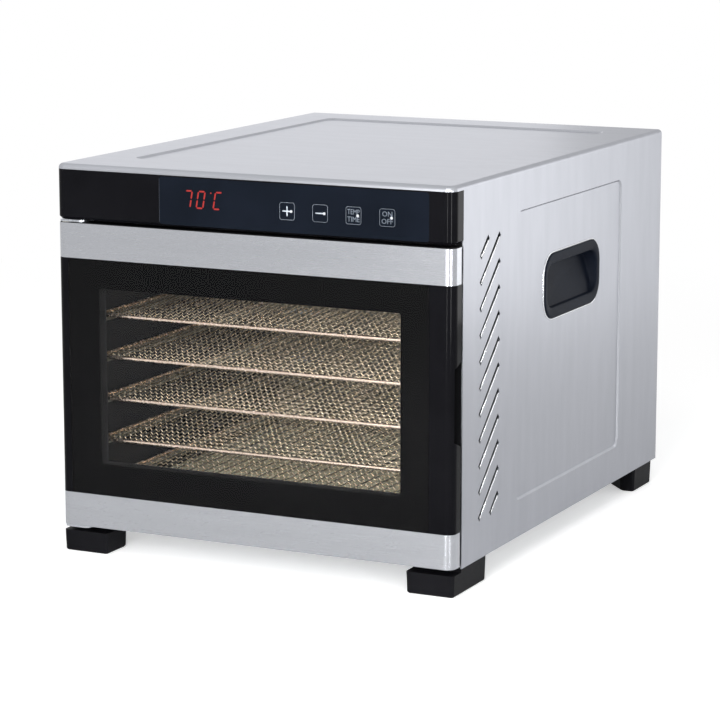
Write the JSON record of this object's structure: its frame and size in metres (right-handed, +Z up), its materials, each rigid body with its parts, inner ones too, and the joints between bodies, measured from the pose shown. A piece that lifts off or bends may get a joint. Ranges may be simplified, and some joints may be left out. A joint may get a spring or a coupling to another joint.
{
  "type": "dental laboratory drying oven",
  "caption": "Stainless warm-air drying oven with a glazed side-hinged door, wire-mesh trays, membrane keys, louvred sides and carry-handle cups.",
  "frame": {"origin": "bottom centre of the whole oven, on the plane the feet stand on", "axes": "+X to the viewer's right, +Y to the back, +Z up"},
  "size_m": [0.345, 0.449, 0.315],
  "materials": {
    "brushed_stainless": "vertical-grained stainless sheet",
    "bright_stainless": "fine horizontal-grained stainless strip",
    "galvanised_sheet": "galvanised sheet",
    "chamber_stainless": "plain mill-finish stainless",
    "tray_wire": "bright drawn stainless wire",
    "fascia_black": "gloss black moulding",
    "overlay_gloss": "high-gloss blue-black panel",
    "key_cap": "gloss key with thin light outline",
    "circuit_board": "solder-masked board",
    "display_block": "dark display block",
    "door_glass": "clear toughened glass",
    "black_print": "ceramic print behind glass",
    "silicone_seal": "matt silicone",
    "handle_plastic": "satin charcoal moulding",
    "foot_plastic": "satin black moulding",
    "zinc_screw": "zinc-plated steel",
    "nylon": "natural nylon",
    "magnet_body": "black moulding",
    "brass_pin": "plated brass blade",
    "heater_tube": "heat-darkened tube",
    "cutout_body": "ceramic body",
    "motor_can": "painted can",
    "aluminium_fan": "die-formed aluminium"
  },
  "bodies": {
    "cabinet": {"air_baffle": "chamber_stainless", "base_pan": "galvanised_sheet", "control_board": "circuit_board", "control_housing": "fascia_black", "control_overlay": "overlay_gloss", "display_module": "display_block", "fan_bracket": "galvanised_sheet", "fan_motor": "motor_can", "foot_front_left": "foot_plastic", "foot_front_right": "foot_plastic", "foot_rear_left": "foot_plastic", "foot_rear_right": "foot_plastic", "foot_screws": "zinc_screw", "front_frame": "galvanised_sheet", "handle_left": "handle_plastic", "handle_right": "handle_plastic", "heater_clips": "galvanised_sheet", "heater_ring": "heater_tube", "hinge_bracket_bottom": "zinc_screw", "hinge_bracket_top": "zinc_screw", "hinge_pins": "zinc_screw", "inlet_pins": "brass_pin", "liner_floor": "chamber_stainless", "liner_left": "chamber_stainless", "liner_right": "chamber_stainless", "liner_top": "chamber_stainless", "magnet_catch": "magnet_body", "outer_wrap": "brushed_stainless", "power_inlet": "magnet_body", "rear_panel": "galvanised_sheet", "rear_screws": "zinc_screw", "thermal_cutout": "cutout_body", "tray_runners_left": "chamber_stainless", "tray_runners_right": "chamber_stainless"},
    "door": {"door_frame": "fascia_black", "door_glass": "door_glass", "window_mask": "black_print", "door_upper_bar": "bright_stainless", "door_lower_bar": "bright_stainless", "door_inner_frame": "chamber_stainless", "door_seal": "silicone_seal", "door_strike": "zinc_screw", "hinge_bushes": "nylon"},
    "fan": {"fan_impeller": "aluminium_fan"},
    "key_plus": {"key_plus": "key_cap"},
    "key_minus": {"key_minus": "key_cap"},
    "key_mode": {"key_mode": "key_cap"},
    "key_power": {"key_power": "key_cap"},
    "tray_1": {"tray_1_frame": "tray_wire", "tray_1_mesh": "tray_wire"},
    "tray_2": {"tray_2_frame": "tray_wire", "tray_2_mesh": "tray_wire"},
    "tray_3": {"tray_3_frame": "tray_wire", "tray_3_mesh": "tray_wire"},
    "tray_4": {"tray_4_frame": "tray_wire", "tray_4_mesh": "tray_wire"},
    "tray_5": {"tray_5_frame": "tray_wire", "tray_5_mesh": "tray_wire"},
    "tray_6": {"tray_6_frame": "tray_wire", "tray_6_mesh": "tray_wire"}
  },
  "joints": [
    {"name": "door_hinge", "type": "hinge", "parent": "cabinet", "child": "door", "pos_m": [-0.16525, -0.21725, 0.145], "axis": [0, 0, -1], "range_deg": [0, 180]},
    {"name": "fan_spin", "type": "hinge", "parent": "cabinet", "child": "fan", "pos_m": [0, 0.1405, 0.146], "axis": [0, 1, 0], "continuous": true},
    {"name": "key_plus_press", "type": "slide", "parent": "cabinet", "child": "key_plus", "axis": [0, 1, 0], "range_m": [0, 0.0005], "stiffness_N_per_m": 600},
    {"name": "key_minus_press", "type": "slide", "parent": "cabinet", "child": "key_minus", "axis": [0, 1, 0], "range_m": [0, 0.0005], "stiffness_N_per_m": 600},
    {"name": "key_mode_press", "type": "slide", "parent": "cabinet", "child": "key_mode", "axis": [0, 1, 0], "range_m": [0, 0.0005], "stiffness_N_per_m": 600},
    {"name": "key_power_press", "type": "slide", "parent": "cabinet", "child": "key_power", "axis": [0, 1, 0], "range_m": [0, 0.0005], "stiffness_N_per_m": 600},
    {"name": "tray_1_slide", "type": "slide", "parent": "cabinet", "child": "tray_1", "axis": [0, -1, 0], "range_m": [0, 0.0048]},
    {"name": "tray_2_slide", "type": "slide", "parent": "cabinet", "child": "tray_2", "axis": [0, -1, 0], "range_m": [0, 0.0048]},
    {"name": "tray_3_slide", "type": "slide", "parent": "cabinet", "child": "tray_3", "axis": [0, -1, 0], "range_m": [0, 0.0048]},
    {"name": "tray_4_slide", "type": "slide", "parent": "cabinet", "child": "tray_4", "axis": [0, -1, 0], "range_m": [0, 0.0048]},
    {"name": "tray_5_slide", "type": "slide", "parent": "cabinet", "child": "tray_5", "axis": [0, -1, 0], "range_m": [0, 0.0048]},
    {"name": "tray_6_slide", "type": "slide", "parent": "cabinet", "child": "tray_6", "axis": [0, -1, 0], "range_m": [0, 0.0048]}
  ]
}
